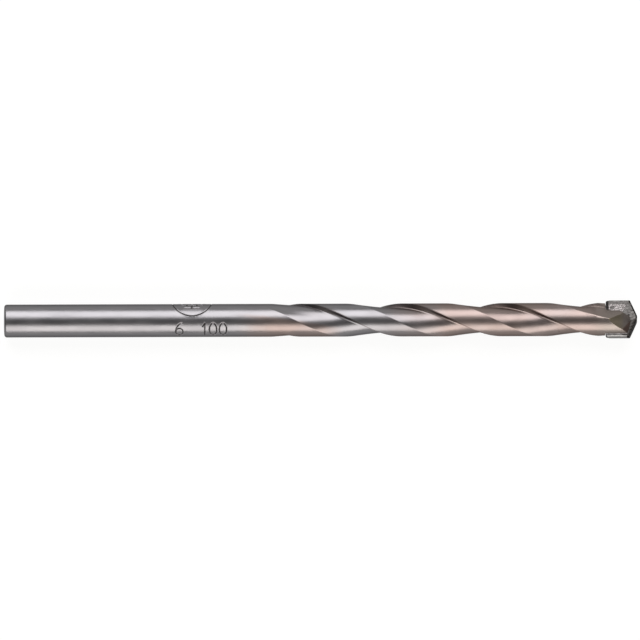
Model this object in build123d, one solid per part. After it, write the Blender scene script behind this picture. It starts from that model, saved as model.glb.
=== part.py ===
from build123d import *

import os
from math import ceil, cos, radians, sin, tan

# Sizes in millimetres, angles in degrees.
# The bit lies on its side on the ground plane: its axis runs along X with the point at +X,
# and Z is up. It is drawn about its own axis and then lifted by its largest round radius.
# Stations along the bit are measured from the end of the shank.
# Roll angles round the axis are 0 towards +Y and 90 straight up.
# The shank is straight, and the fluted part widens a little from there to the tip.
bit_length = 100.0
shank_radius = 2.6
tip_radius = 2.63
shank_chamfer = 0.3

# Two flutes twist right-handed round the body, half a turn apart.
# They run out into the shank. Behind the plate the heel edge stops twisting before the
# cutting edge does, so a flute narrows there.
flute_count = 2
flute_pitch = 31.66
flute_start = 41.2
heel_straightens = 89.5
straightening_length = 6.1
edge_straightens = 96.0
heel_on_top_at = 45.99
# One flute in section, from its heel edge to its cutting edge:
# degrees round from the heel, and depth under the land.
# The first and last points stand clear of the body. Where a flute starts it is no deeper
# than a ramp, which begins further along the bit at the cutting edge than at the heel.
flute_width = 102.0
flute_section = (
    (-12.0, -0.17),
    (0.0, 0.0),
    (12.0, 0.155),
    (26.0, 0.317),
    (43.0, 0.488),
    (60.0, 0.63),
    (75.0, 0.728),
    (86.0, 0.775),
    (92.0, 0.782),
    (96.0, 0.715),
    (98.0, 0.595),
    (99.6, 0.4),
    (flute_width, 0.0),
    (103.5, -0.25),
)
ramp_rise = 0.1
ramp_delay_per_degree = 0.0225
cutter_reach = 1.6
cutter_run_in = 1.2
cutter_run_past = 0.6
section_turn = 12.0

# The carbide plate sits in a slot across the tip. Its upper face leans towards +Y.
plate_width = 6.0
plate_thickness = 1.8
plate_length = 4.9
plate_roll = 12.0
plate_back_chamfer = 0.25
point_angle = 130.5
carbide_relief = 8.0

# Flat gashes clear the steel in front of the cutting faces. They lean in towards the tip.
gash_distance_at_tip = 1.04
gash_lean = 7.5
gash_roll = 35.0
# The steel ends in a cone behind the plate's roof. Above the plate it is ground further:
# outward normals of those faces, and where each would meet the axis, back from the tip.
nose_cone_setback = 0.4
nose_relief_normal = (0.6, 0.038, 0.8)
nose_relief_setback = -0.35
heel_bevel_normal = (0.42, 0.27, 0.865)
heel_bevel_setback = -0.967

# Braze fills the slot round the plate, short of its outer ends and of its roof.
braze_film = 0.08
braze_front = 1.3
braze_floor = 0.12
braze_floor_width = 3.8

shank_end_x = -bit_length / 2
tip_x = bit_length / 2
plate_back_x = tip_x - plate_length
slot_floor_x = plate_back_x - braze_floor
slot_thickness = plate_thickness + 2 * braze_film
block_size = 40.0


def x_at(station):
    """X of a station measured from the end of the shank."""
    return station + shank_end_x


def steady_roll(station):
    """Roll of the first flute's heel edge where it twists steadily."""
    return 90 + 360 / flute_pitch * (station - heel_on_top_at)


def heel_roll(station):
    """Roll of the first flute's heel edge, whose twist slows to none behind the tip."""
    share = min(max(station - heel_straightens, 0) / straightening_length, 1)
    slowing = straightening_length * (share - share**2 / 2)
    return steady_roll(min(station, heel_straightens) + slowing)


def width_share(station):
    """Share of its full width that a flute keeps where its heel lags behind its edge."""
    edge = steady_roll(min(station, edge_straightens))
    return 1 - (edge - heel_roll(station)) / flute_width


def land_radius(station):
    """Radius of the bar at a station, which is also that of the lands between the flutes."""
    share = max(station - flute_start, 0) / (bit_length - flute_start)
    return shank_radius + (tip_radius - shank_radius) * share


def floor_radius(around, depth, station):
    """Distance from the axis of a point of the flute, which runs out up its ramp."""
    ramp_start = flute_start + around * ramp_delay_per_degree
    ramp_depth = ramp_rise * (station - ramp_start)
    return land_radius(station) - min(depth, ramp_depth)


def at_roll(station, radius, roll):
    """A point given by its station, distance from the axis and roll angle."""
    turn = radians(roll)
    return Vector(x_at(station), radius * cos(turn), radius * sin(turn))


def cutter_outline(station, turned):
    """Closed outline at one station of the space that a flute takes, open to the outside."""
    heel = heel_roll(station) + turned
    width = width_share(station)
    floor = [
        at_roll(station, floor_radius(around, depth, station), heel - around * width)
        for around, depth in flute_section
    ]
    first = flute_section[0][0] * width
    last = flute_section[-1][0] * width
    outer_heel = at_roll(station, tip_radius + cutter_reach, heel - first)
    outer_middle = at_roll(station, tip_radius + 2 * cutter_reach, heel - (first + last) / 2)
    outer_wall = at_roll(station, tip_radius + cutter_reach, heel - last)
    return Wire(
        [
            Edge.make_spline(floor),
            Edge.make_line(floor[-1], outer_wall),
            Edge.make_line(outer_wall, outer_middle),
            Edge.make_line(outer_middle, outer_heel),
            Edge.make_line(outer_heel, floor[0]),
        ]
    )


def flute_cutter(turned):
    """The space of one flute, from before its run-out to past the tip."""
    first = flute_start - cutter_run_in
    last = bit_length + cutter_run_past
    spans = ceil((last - first) * 360 / flute_pitch / section_turn)
    stations = [first + (last - first) * i / spans for i in range(spans + 1)]
    return Solid.make_loft([cutter_outline(station, turned) for station in stations])


def beyond_plane(point, normal):
    """A large block that fills the outer side of a plane."""
    stands_on_plane = (Align.CENTER, Align.CENTER, Align.MIN)
    block = Box(block_size, block_size, block_size, align=stands_on_plane)
    return Plane(origin=point, z_dir=normal) * block


def both_sides(block):
    """A block and its copy half a turn round the axis."""
    return [block, block.rotate(Axis.X, 180)]


def gash_cuts():
    """What the two flat gashes take away."""
    lean, roll = radians(gash_lean), radians(gash_roll)
    normal = Vector(sin(lean), cos(lean) * cos(roll), cos(lean) * sin(roll))
    point = Vector(tip_x, 0, 0) + normal * gash_distance_at_tip
    return both_sides(beyond_plane(point, normal))


def nose_cuts():
    """What grinding the nose takes away: a relief and a heel bevel on each side."""
    relief = beyond_plane((tip_x - nose_relief_setback, 0, 0), nose_relief_normal)
    bevel = beyond_plane((tip_x - heel_bevel_setback, 0, 0), heel_bevel_normal)
    return both_sides(relief) + both_sides(bevel)


def across_tip(start_x, length, width, thickness):
    """A block across the axis that lies in the plate's own plane."""
    from_start = (Align.MIN, Align.CENTER, Align.CENTER)
    block = Box(length, width, thickness, align=from_start)
    return (Pos(start_x, 0, 0) * block).rotate(Axis.X, -plate_roll)


def slot_space():
    """The slot that takes the plate and its braze, open at the tip."""
    return across_tip(slot_floor_x, plate_length + 1, 2 * plate_width, slot_thickness)


def round_bar():
    """The bar before it is fluted: a straight shank, a body that widens and a nose cone."""
    cone_length = tip_radius / tan(radians(point_angle / 2))
    nose_x = tip_x - nose_cone_setback
    profile = Polyline(
        (shank_end_x, 0),
        (shank_end_x, shank_radius - shank_chamfer),
        (shank_end_x + shank_chamfer, shank_radius),
        (x_at(flute_start), shank_radius),
        (nose_x - cone_length, tip_radius),
        (nose_x, 0),
        close=True,
    )
    return revolve(make_face(profile), Axis.X)


def drill_body():
    """Shank and fluted body in one piece of steel, slotted and ground at the nose."""
    body = round_bar()
    for flute in range(flute_count):
        body = body - flute_cutter(flute * 360 / flute_count)
    for cut in gash_cuts() + nose_cuts():
        body = body - cut
    return body - slot_space()


def carbide_tip():
    """The hard plate: round outer ends, a roof-shaped point and chamfered back corners."""
    plate = across_tip(plate_back_x, plate_length, 2 * plate_width, plate_thickness)
    plate = plate & Cylinder(plate_width / 2, 2 * bit_length, rotation=(0, 90, 0))
    fall = 1 / tan(radians(point_angle / 2))
    lip_normal = Vector(1, fall, -tan(radians(carbide_relief)))
    roof = beyond_plane((0, 0, 0), lip_normal)
    roof = Pos(tip_x, 0, 0) * roof.rotate(Axis.X, -plate_roll)
    back_corner = beyond_plane((plate_back_chamfer, plate_width / 2, 0), (-1, 1, 0))
    back_corner = Pos(plate_back_x, 0, 0) * back_corner.rotate(Axis.X, -plate_roll)
    for cut in both_sides(roof) + both_sides(back_corner):
        plate = plate - cut
    return plate


def braze_metal(plate):
    """Braze on both faces of the plate and under its back edge."""
    length = tip_x - braze_front - slot_floor_x
    braze = across_tip(slot_floor_x, length, 2 * plate_width, slot_thickness)
    braze = braze & Cylinder(shank_radius, 2 * bit_length, rotation=(0, 90, 0))
    for cut in nose_cuts():
        braze = braze - cut
    gap_length = braze_floor + plate_back_chamfer
    back = across_tip(slot_floor_x, gap_length, 2 * plate_width, plate_thickness)
    kept = across_tip(slot_floor_x, gap_length, braze_floor_width, plate_thickness)
    return braze - plate - (back - kept)


def main():
    os.makedirs("parts", exist_ok=True)
    plate = carbide_tip()
    pieces = {
        "drill_body": drill_body(),
        "carbide_tip": plate,
        "braze_metal": braze_metal(plate),
    }
    for name, piece in pieces.items():
        export_step(Pos(0, 0, tip_radius) * piece, f"parts/{name}.step")


main()
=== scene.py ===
import logging
import math
from collections.abc import Sequence
from dataclasses import dataclass, field
from enum import Enum
from functools import reduce

import bmesh
import bpy
import numpy as np
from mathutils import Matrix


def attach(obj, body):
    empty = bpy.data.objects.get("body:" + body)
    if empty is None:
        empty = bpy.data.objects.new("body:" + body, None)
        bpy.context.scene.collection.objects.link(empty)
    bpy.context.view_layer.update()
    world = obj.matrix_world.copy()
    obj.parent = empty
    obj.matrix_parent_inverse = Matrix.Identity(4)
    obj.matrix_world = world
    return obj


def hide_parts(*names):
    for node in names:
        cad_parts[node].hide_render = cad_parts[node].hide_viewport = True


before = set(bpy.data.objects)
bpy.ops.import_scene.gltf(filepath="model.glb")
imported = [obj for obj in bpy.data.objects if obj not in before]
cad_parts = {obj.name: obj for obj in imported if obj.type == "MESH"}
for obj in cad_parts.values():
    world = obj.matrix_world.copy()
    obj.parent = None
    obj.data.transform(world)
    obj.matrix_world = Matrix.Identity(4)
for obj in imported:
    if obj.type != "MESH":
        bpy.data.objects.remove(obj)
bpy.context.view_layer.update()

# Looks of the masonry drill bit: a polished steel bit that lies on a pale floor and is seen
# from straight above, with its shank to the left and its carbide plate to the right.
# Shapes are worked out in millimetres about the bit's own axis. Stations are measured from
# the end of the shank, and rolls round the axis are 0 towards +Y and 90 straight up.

log = logging.getLogger("drill_bit")

MM = 0.001
BIT_LENGTH = 100.0
TIP_X = BIT_LENGTH / 2
SHANK_RADIUS = 2.6
TIP_RADIUS = 2.63
PLATE_ROLL = 12.0

# Cutting blocks reach well past the bit, and a square's corners go once round it.
BLOCK_SIZE = 15.0
BLOCK_REACH = 9.0
SQUARE = np.array([(1, 1), (-1, 1), (-1, -1), (1, -1)])

Array = np.ndarray
Socket = bpy.types.NodeSocket
Span = tuple[float, float]
Triple = tuple[float, float, float]


class Side(Enum):
    """The two like sides of the bit, half a turn apart round its axis."""

    UPPER = 1
    LOWER = -1


class Blend(Enum):
    """How two colours are laid over each other."""

    MIX = "MIX"
    DARKEN = "MULTIPLY"


# Shapes as whole arrays


def graded(knots: Sequence[float], counts: Sequence[int]) -> Array:
    """Values that rise through the knots, in equal steps between each pair.

    Args:
        knots: The values to pass through, from first to last.
        counts: How many steps lie between each pair of knots.

    Returns:
        All the values, with both ends.
    """
    spans = zip(knots, knots[1:], counts)
    steps = [np.linspace(low, high, count, endpoint=False) for low, high, count in spans]
    return np.concatenate([*steps, np.array(knots[-1:], float)])


def eased(value: Array, low: float, high: float) -> Array:
    """Share from 0 at low to 1 at high, that starts and ends level: 3 t^2 - 2 t^3."""
    share = np.clip((value - low) / (high - low), 0, 1)
    return share**2 * (3 - 2 * share)


def rounded_min(first: Array, second: Array, reach: float) -> Array:
    """The lower of two surfaces, with the edge between them rounded.

    It is min(a, b) - h^2 reach / 4, where h falls from 1 to 0 as a and b part by reach.

    Args:
        first: Values of one surface.
        second: Values of the other.
        reach: How far apart the two may be and still be rounded.

    Returns:
        The rounded lower values.
    """
    near = np.clip(1 - np.abs(first - second) / reach, 0, 1)
    return np.minimum(first, second) - near**2 * reach / 4


def spline_through(at: Array, knots: Array, values: Array) -> Array:
    """Natural cubic spline: a cubic between each pair of knots, with matching bends.

    Args:
        at: Where the curve is wanted, inside the knots.
        knots: Rising positions of the known points.
        values: The curve's value at each knot.

    Returns:
        The curve's values at those places.
    """
    gaps = np.diff(knots)
    slopes = np.diff(values) / gaps
    system = np.eye(len(knots))
    inner = np.arange(1, len(knots) - 1)
    system[inner, inner - 1] = gaps[:-1]
    system[inner, inner] = 2 * (gaps[:-1] + gaps[1:])
    system[inner, inner + 1] = gaps[1:]
    pull = np.zeros(len(knots))
    pull[1:-1] = 6 * np.diff(slopes)
    bend = np.linalg.solve(system, pull)
    span = np.clip(np.searchsorted(knots, at) - 1, 0, len(gaps) - 1)
    gap, before, after = gaps[span], at - knots[span], knots[span + 1] - at
    cubic = (bend[span] * after**3 + bend[span + 1] * before**3) / (6 * gap)
    level = (values[span] / gap - bend[span] * gap / 6) * after
    rise = (values[span + 1] / gap - bend[span + 1] * gap / 6) * before
    return cubic + level + rise


def mottle(along: Array, across: Array, size: float, seed: int) -> Array:
    """Soft uneven pattern between about -1 and 1: a sum of sine waves in set directions.

    Args:
        along: First coordinate of each point.
        across: Second coordinate of each point.
        size: Rough distance between one lump and the next.
        seed: Picks the directions and phases, the same on each run.

    Returns:
        The pattern's value at each point.
    """
    chance = np.random.default_rng(seed)
    count = 14
    heading = chance.uniform(0, 2 * math.pi, count)
    waves = 2 * math.pi / size * chance.uniform(0.6, 2.2, count)
    phase = chance.uniform(0, 2 * math.pi, count)
    turn = np.multiply.outer(along, waves * np.cos(heading))
    turn = turn + np.multiply.outer(across, waves * np.sin(heading)) + phase
    return np.sin(turn).sum(-1) / math.sqrt(count)


def distance_to(strokes: Sequence[Array], along: Array, across: Array) -> Array:
    """Distance from each point to the nearest straight piece of any stroke.

    Args:
        strokes: Lines as (point, 2) arrays in the unrolled surface.
        along: First coordinate of each point.
        across: Second coordinate of each point.

    Returns:
        The shortest distance at each point.
    """
    nearest = np.full(along.shape, np.inf)
    for stroke in strokes:
        start, step = stroke[:-1], np.diff(stroke, axis=0)
        far_x = along[..., None] - start[:, 0]
        far_y = across[..., None] - start[:, 1]
        length = np.maximum((step**2).sum(1), 1e-12)
        share = np.clip((far_x * step[:, 0] + far_y * step[:, 1]) / length, 0, 1)
        gap = np.hypot(far_x - share * step[:, 0], far_y - share * step[:, 1])
        nearest = np.minimum(nearest, gap.min(-1))
    return nearest


def oval(centre: Span, radii: Span, count: int = 40) -> Array:
    """Closed oval line: centre + (a cos t, b sin t).

    Args:
        centre: Middle of the oval.
        radii: Half its width and half its height.
        count: How many straight pieces it has.

    Returns:
        The points of the line, with the first repeated at the end.
    """
    turn = np.linspace(0, 2 * math.pi, count + 1)
    return np.stack([centre[0] + radii[0] * np.cos(turn), centre[1] + radii[1] * np.sin(turn)], 1)


# Meshes from arrays


def placed(x: Array, y: Array, z: Array) -> Array:
    """Points about the bit's axis, lifted so that the bit lies on the floor."""
    return np.stack(np.broadcast_arrays(x, y, z + TIP_RADIUS), axis=-1)


def turned(points: Array, side: Side) -> Array:
    """Points about the axis for one side: as they are, or half a turn round it."""
    return points * np.array([1, side.value, side.value])


def mesh_piece(name: str, points: Array, faces: list[list[int]]) -> bpy.types.Object:
    """A piece from points in millimetres and the faces between them, facing outwards.

    Args:
        name: Name of the piece.
        points: (point, xyz) array in millimetres.
        faces: Corner numbers of each face.

    Returns:
        The new object, at the origin and in the scene.
    """
    mesh = bpy.data.meshes.new(name)
    mesh.from_pydata((points * MM).tolist(), [], faces)
    work = bmesh.new()
    work.from_mesh(mesh)
    bmesh.ops.recalc_face_normals(work, faces=work.faces)
    work.to_mesh(mesh)
    work.free()
    piece = bpy.data.objects.new(name, mesh)
    bpy.context.scene.collection.objects.link(piece)
    return piece


def ring_faces(rows: int, columns: int, first: int = 0) -> list[list[int]]:
    """Faces of a closed tube of rings, with a flat cap at each end.

    Args:
        rows: How many rings there are.
        columns: How many points each ring has.
        first: Number of the tube's first point.

    Returns:
        Corner numbers of each face.
    """
    index = first + np.arange(rows * columns).reshape(rows, columns)
    beside = np.roll(index, -1, axis=1)
    quads = np.stack([index[:-1], index[1:], beside[1:], beside[:-1]], axis=-1)
    return [*quads.reshape(-1, 4).tolist(), index[0][::-1].tolist(), index[-1].tolist()]


def tube_piece(name: str, tubes: Sequence[Array]) -> bpy.types.Object:
    """A piece made of one or more closed tubes, each a (ring, point, xyz) array.

    Args:
        name: Name of the piece.
        tubes: The tubes, in millimetres in the row frame.

    Returns:
        The new object.
    """
    faces: list[list[int]] = []
    first = 0
    for tube in tubes:
        faces += ring_faces(tube.shape[0], tube.shape[1], first)
        first += tube.shape[0] * tube.shape[1]
    points = np.concatenate([tube.reshape(-1, 3) for tube in tubes])
    return mesh_piece(name, points, faces)


def carve(piece: bpy.types.Object, cutters: Sequence[bpy.types.Object]) -> None:
    """Takes the cutters' space away from a piece, exactly, and then drops the cutters.

    Args:
        piece: The piece to cut.
        cutters: Closed solids, which may overlap.
    """
    group = bpy.data.collections.new("cutters")
    for cutter in cutters:
        group.objects.link(cutter)
    cut = piece.modifiers.new("carve", "BOOLEAN")
    cut.operation, cut.solver, cut.operand_type = "DIFFERENCE", "EXACT", "COLLECTION"
    cut.collection = group
    bpy.context.view_layer.update()
    carved = piece.evaluated_get(bpy.context.evaluated_depsgraph_get())
    mesh = bpy.data.meshes.new_from_object(carved)
    piece.modifiers.clear()
    piece.data = mesh
    for cutter in cutters:
        bpy.data.objects.remove(cutter)
    bpy.data.collections.remove(group)


def finish_piece(
    piece: bpy.types.Object, material: bpy.types.Material, sharp: float
) -> bpy.types.Object:
    """Gives a piece its finish, smooth shading with crisp edges, and its place on the bit.

    Args:
        piece: The piece, in place.
        material: Its finish.
        sharp: Angle in degrees over which an edge stays crisp.

    Returns:
        The same piece.
    """
    piece.data.materials.clear()
    piece.data.materials.append(material)
    piece.data.shade_smooth()
    piece.data.set_sharp_from_angle(angle=math.radians(sharp))
    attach(piece, "root")
    log.info("%s: %d faces", piece.name, len(piece.data.polygons))
    return piece


# Finishes


@dataclass(frozen=True)
class Noise:
    """Noise: lumps in a metre, how much closer they lie along X, Y, Z, and finer layers."""

    scale: float
    stretch: Triple = (1, 1, 1)
    detail: float = 3.0


@dataclass(frozen=True)
class Patches(Noise):
    """Soft patches: the span of the noise that is eased, and what that span gives."""

    seen: Span = (0.3, 0.7)
    gives: Span = (0, 1)


@dataclass(frozen=True)
class Bumps(Noise):
    """Noise that raises the surface by up to its depth, in metres."""

    depth: float = 0.0


class Graph:
    """A material's nodes, with short calls to add and join them."""

    def __init__(self, name: str) -> None:
        """Starts an empty material with its output and its place coordinates.

        Args:
            name: Name of the material.
        """
        self.material = bpy.data.materials.new(name)
        self.material.use_nodes = True
        self.tree = self.material.node_tree
        self.tree.nodes.clear()
        self.output = self.node("ShaderNodeOutputMaterial")
        self.place = self.node("ShaderNodeTexCoord").outputs["Object"]

    def node(self, kind: str, **settings: object) -> bpy.types.Node:
        """Adds a node and sets its properties.

        Args:
            kind: Blender's name of the node's type.
            settings: The properties by name.

        Returns:
            The new node.
        """
        made = self.tree.nodes.new(kind)
        for name, value in settings.items():
            setattr(made, name, value)
        return made

    def put(self, target: Socket, source: object) -> None:
        """Joins a socket to a target, or sets the target to a plain value.

        Args:
            target: The input socket.
            source: An output socket, or the plain value.
        """
        if isinstance(source, bpy.types.NodeSocket):
            self.tree.links.new(source, target)
        else:
            target.default_value = source

    def math(self, operation: str, first: object, second: object = 0.0) -> Socket:
        """One sum of two numbers or sockets.

        Args:
            operation: Blender's name of the operation.
            first: First number or socket.
            second: Second number or socket.

        Returns:
            The result's socket.
        """
        made = self.node("ShaderNodeMath", operation=operation)
        self.put(made.inputs[0], first)
        self.put(made.inputs[1], second)
        return made.outputs[0]

    def times(self, *factors: object) -> Socket:
        """Product of numbers and sockets."""
        return reduce(lambda first, second: self.math("MULTIPLY", first, second), factors)

    def plus(self, *terms: object) -> Socket:
        """Sum of numbers and sockets."""
        return reduce(lambda first, second: self.math("ADD", first, second), terms)

    def largest(self, *values: object) -> Socket:
        """Largest of numbers and sockets."""
        return reduce(lambda first, second: self.math("MAXIMUM", first, second), values)

    def span(self, value: object, low: float, high: float, to: Span = (0, 1)) -> Socket:
        """Eases a value from one span to another, and holds it at the ends.

        Args:
            value: The socket to read.
            low: Value that gives the first result.
            high: Value that gives the second result.
            to: The two results.

        Returns:
            The result's socket.
        """
        made = self.node("ShaderNodeMapRange", interpolation_type="SMOOTHSTEP")
        self.put(made.inputs["Value"], value)
        for name, number in zip(("From Min", "From Max", "To Min", "To Max"), (low, high, *to)):
            made.inputs[name].default_value = number
        return made.outputs["Result"]

    def span_mm(self, value: object, low: float, high: float, to: Span = (0, 1)) -> Socket:
        """Eases a length in metres from a span given in millimetres to another."""
        return self.span(value, low * MM, high * MM, to)

    def noise(self, kind: Noise) -> Socket:
        """Noise in the piece's own coordinates.

        Args:
            kind: Its scale, stretch and detail.

        Returns:
            The noise's value socket, about 0.5 on average.
        """
        mapping = self.node("ShaderNodeMapping")
        self.put(mapping.inputs["Vector"], self.place)
        mapping.inputs["Scale"].default_value = kind.stretch
        made = self.node("ShaderNodeTexNoise")
        self.put(made.inputs["Vector"], mapping.outputs[0])
        made.inputs["Scale"].default_value = kind.scale
        made.inputs["Detail"].default_value = kind.detail
        return made.outputs[0]

    def patches(self, kind: Patches) -> Socket:
        """What soft patches of noise give at each place."""
        return self.span(self.noise(kind), *kind.seen, kind.gives)

    def colours(self, share: Socket, low: object, high: object, how: Blend = Blend.MIX) -> Socket:
        """Lays one colour over another by a share.

        Args:
            share: How much of the second shows.
            low: First colour or socket.
            high: Second colour or socket.
            how: Whether the second replaces the first or darkens it.

        Returns:
            The mixed colour's socket.
        """
        made = self.node("ShaderNodeMix", data_type="RGBA", blend_type=how.value)
        self.put(made.inputs["Factor"], share)
        for target, colour in ((made.inputs[6], low), (made.inputs[7], high)):
            self.put(target, (*colour, 1.0) if isinstance(colour, tuple) else colour)
        return made.outputs[2]

    def darkened(self, colour: Socket, share: Socket, shade: Triple) -> Socket:
        """A colour multiplied by a shade, by a share."""
        return self.colours(share, colour, shade, Blend.DARKEN)

    def axes(self) -> tuple[Socket, Socket, Socket]:
        """Splits the place into its axes.

        Returns:
            X, Y and Z in metres, with Z measured from the bit's axis.
        """
        parts = self.node("ShaderNodeSeparateXYZ")
        self.put(parts.inputs[0], self.place)
        height = self.math("SUBTRACT", parts.outputs[2], TIP_RADIUS * MM)
        return parts.outputs[0], parts.outputs[1], height

    def bumps(self, layers: Sequence[Bumps]) -> Socket:
        """Surface normals disturbed by one or more layers of noise.

        Args:
            layers: The layers, each laid over those before it.

        Returns:
            The normal's socket.
        """
        normal = None
        for layer in layers:
            made = self.node("ShaderNodeBump")
            made.inputs["Distance"].default_value = layer.depth
            self.put(made.inputs["Height"], self.noise(layer))
            if normal is not None:
                self.put(made.inputs["Normal"], normal)
            normal = made.outputs[0]
        return normal

    def metal(
        self, colour: object, roughness: object, normal: Socket, edge_tint: float = 1.0
    ) -> bpy.types.Material:
        """Ends the material in one metal shader.

        Args:
            colour: Colour or socket.
            roughness: Roughness or socket.
            normal: The disturbed normal.
            edge_tint: How bright the metal stays where it is seen nearly edge-on.

        Returns:
            The finished material.
        """
        shader = self.node("ShaderNodeBsdfPrincipled")
        shader.inputs["Metallic"].default_value = 1.0
        self.put(shader.inputs["Base Color"], colour)
        self.put(shader.inputs["Roughness"], roughness)
        self.put(shader.inputs["Normal"], normal)
        shader.inputs["Specular Tint"].default_value = (edge_tint, edge_tint, edge_tint, 1.0)
        self.put(self.output.inputs["Surface"], shader.outputs[0])
        return self.material


@dataclass(frozen=True)
class SteelFinish:
    """Polished steel that turns from neutral to a warm heat tint towards the tip.

    Spans named along are in millimetres from the middle of the bit, and a span that falls
    gives a share that falls. Rolls are in degrees back from the heel edge.
    """

    neutral: Triple = (0.17, 0.166, 0.171)
    warm: Triple = (0.195, 0.156, 0.143)
    tip: Triple = (0.192, 0.168, 0.15)
    cloud: Triple = (0.86, 0.86, 0.87)
    # Colour laid over the grooves of the pressed marks, to make them darker.
    groove_darkening: Triple = (0.25, 0.23, 0.22)
    speck: Triple = (0.45, 0.38, 0.4)
    # Heat tint and painted shade on the nose's ground relief planes.
    scorch_and_shade: Triple = (0.8, 0.66, 0.62)
    olive: Triple = (0.96, 0.95, 0.76)
    # Colour of the painted shade on the flute walls and along the cutting edges.
    painted_wall_shade: Triple = (0.52, 0.49, 0.48)
    edge_tint: float = 0.35
    roughness: float = 0.32
    warm_roughness: float = 0.35
    tint_along: Span = (6.0, 24.0)
    patch_rise_along: Span = (-14.0, -7.0)
    patch_fall_along: Span = (4.0, 0.0)
    patch_slant: float = 0.14
    patch_across: Span = (-0.3, -1.0)
    patch_strength: Span = (0.1, 0.95)
    tip_along: Span = (42.0, 46.0)
    tip_strength: float = 0.8
    groove_darkening_depth: Span = (0.004, 0.05)
    groove_darkening_rise_along: Span = (-49.2, -48.8)
    groove_darkening_fall_along: Span = (-10.0, -10.5)
    specks_along: Span = (30.0, 40.0)
    olive_along: Span = (TIP_X - 1.8, TIP_X - 3.0)
    plane_gap: Span = (0.03, 0.005)
    wall_rise: Span = (94.0, 96.5)
    wall_fall: Span = (103.0, 101.5)
    wall_depth: Span = (0.02, 0.12)
    strip_rise: Span = (100.6, 101.6)
    strip_fall: Span = (106.0, 104.2)
    strip_along: Span = (-5.5, -3.5)
    wall_fades_along: Span = (41.0, 40.0)
    wall_stops_along: Span = (45.5, 45.0)
    stains: Patches = Patches(260, (0.6, 1, 1), seen=(0.35, 0.65), gives=(-0.16, 0.16))
    clouds: Patches = Patches(420, (0.5, 1, 1), seen=(0.4, 0.7), gives=(0, 0.35))
    specks: Patches = Patches(1500, seen=(0.66, 0.74), gives=(0, 0.5))
    polish: Patches = Patches(700, (0.35, 1, 1), seen=(0.35, 0.7), gives=(-0.02, 0.05))
    skin: tuple[Bumps, ...] = (
        Bumps(330, (0.55, 1, 1), 1.0, 9e-6),
        Bumps(9000, (0.02, 1, 1), 2.0, 1.2e-6),
    )

    def heat(self, graph: Graph, x: Socket, y: Socket) -> Socket:
        """Share of heat tint: it grows along the bit, with an early patch where the flutes start.

        Args:
            graph: The material's nodes.
            x: Place along the bit.
            y: Place across it.

        Returns:
            The share's socket, from 0 to 1.
        """
        slant = graph.plus(y, graph.times(x, self.patch_slant))
        patch = graph.times(
            graph.span_mm(x, *self.patch_rise_along),
            graph.span_mm(x, *self.patch_fall_along),
            graph.span_mm(slant, *self.patch_across, self.patch_strength),
        )
        base = graph.largest(graph.span_mm(x, *self.tint_along), patch)
        made = graph.node("ShaderNodeMath", operation="ADD", use_clamp=True)
        graph.put(made.inputs[0], base)
        graph.put(made.inputs[1], graph.times(graph.patches(self.stains), graph.span(base, 0, 0.3)))
        return made.outputs[0]

    def near_plane(self, graph: Graph, normal: Triple, setback: float) -> Socket:
        """Share that is 1 on a ground nose plane and its copy half a turn round, 0 elsewhere.

        It reads the place's distance from the plane, n . (p - tip) + n_x setback.

        Args:
            graph: The material's nodes.
            normal: The plane's outward normal.
            setback: Where the plane meets the axis, measured back from the tip.

        Returns:
            The share's socket.
        """
        shares = []
        for side in Side:
            reach = graph.node("ShaderNodeVectorMath", operation="DOT_PRODUCT")
            graph.put(reach.inputs[0], graph.place)
            facing = (normal[0], side.value * normal[1], side.value * normal[2])
            reach.inputs[1].default_value = facing
            foot = (facing[0] * (TIP_X - setback) + facing[2] * TIP_RADIUS) * MM
            gap = graph.math("ABSOLUTE", graph.math("SUBTRACT", reach.outputs["Value"], foot))
            shares.append(graph.span_mm(gap, *self.plane_gap))
        return graph.largest(*shares)

    def painted_wall_shade_share(
        self, graph: Graph, flutes: "Flutes", place: tuple[Socket, Socket, Socket], out: Socket
    ) -> Socket:
        """Share of painted shade: 1 on the steep wall under each cutting edge and on the edge
        itself.

        It reads the turn back from the heel edge, twist x + start - atan2(z, y), over the part
        of the bit where the twist is steady.

        Args:
            graph: The material's nodes.
            flutes: The flutes, for their twist.
            place: The place's X, Y and Z from the bit's axis.
            out: The place's distance from the axis.

        Returns:
            The share's socket.
        """
        x, y, z = place
        turn = 2 * math.pi / flutes.pitch
        start = math.pi / 2 + turn * (BIT_LENGTH / 2 - flutes.heel_on_top_at)
        heel = graph.plus(graph.times(x, turn / MM), start)
        behind = graph.math("SUBTRACT", heel, graph.math("ARCTAN2", z, y))
        behind = graph.math("FLOORED_MODULO", behind, math.pi)
        rolls = (self.wall_rise, self.wall_fall, self.strip_rise, self.strip_fall)
        shares = [graph.span(behind, *(math.radians(roll) for roll in span)) for span in rolls]
        depths = [SHANK_RADIUS - depth for depth in self.wall_depth]
        wall = graph.times(shares[0], shares[1], graph.span_mm(out, *depths))
        strip = graph.times(shares[2], shares[3], graph.span_mm(x, *self.strip_along))
        return graph.times(
            graph.largest(wall, strip),
            graph.span_mm(x, *self.wall_fades_along, (0.5, 1)),
            graph.span_mm(x, *self.wall_stops_along),
        )

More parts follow.
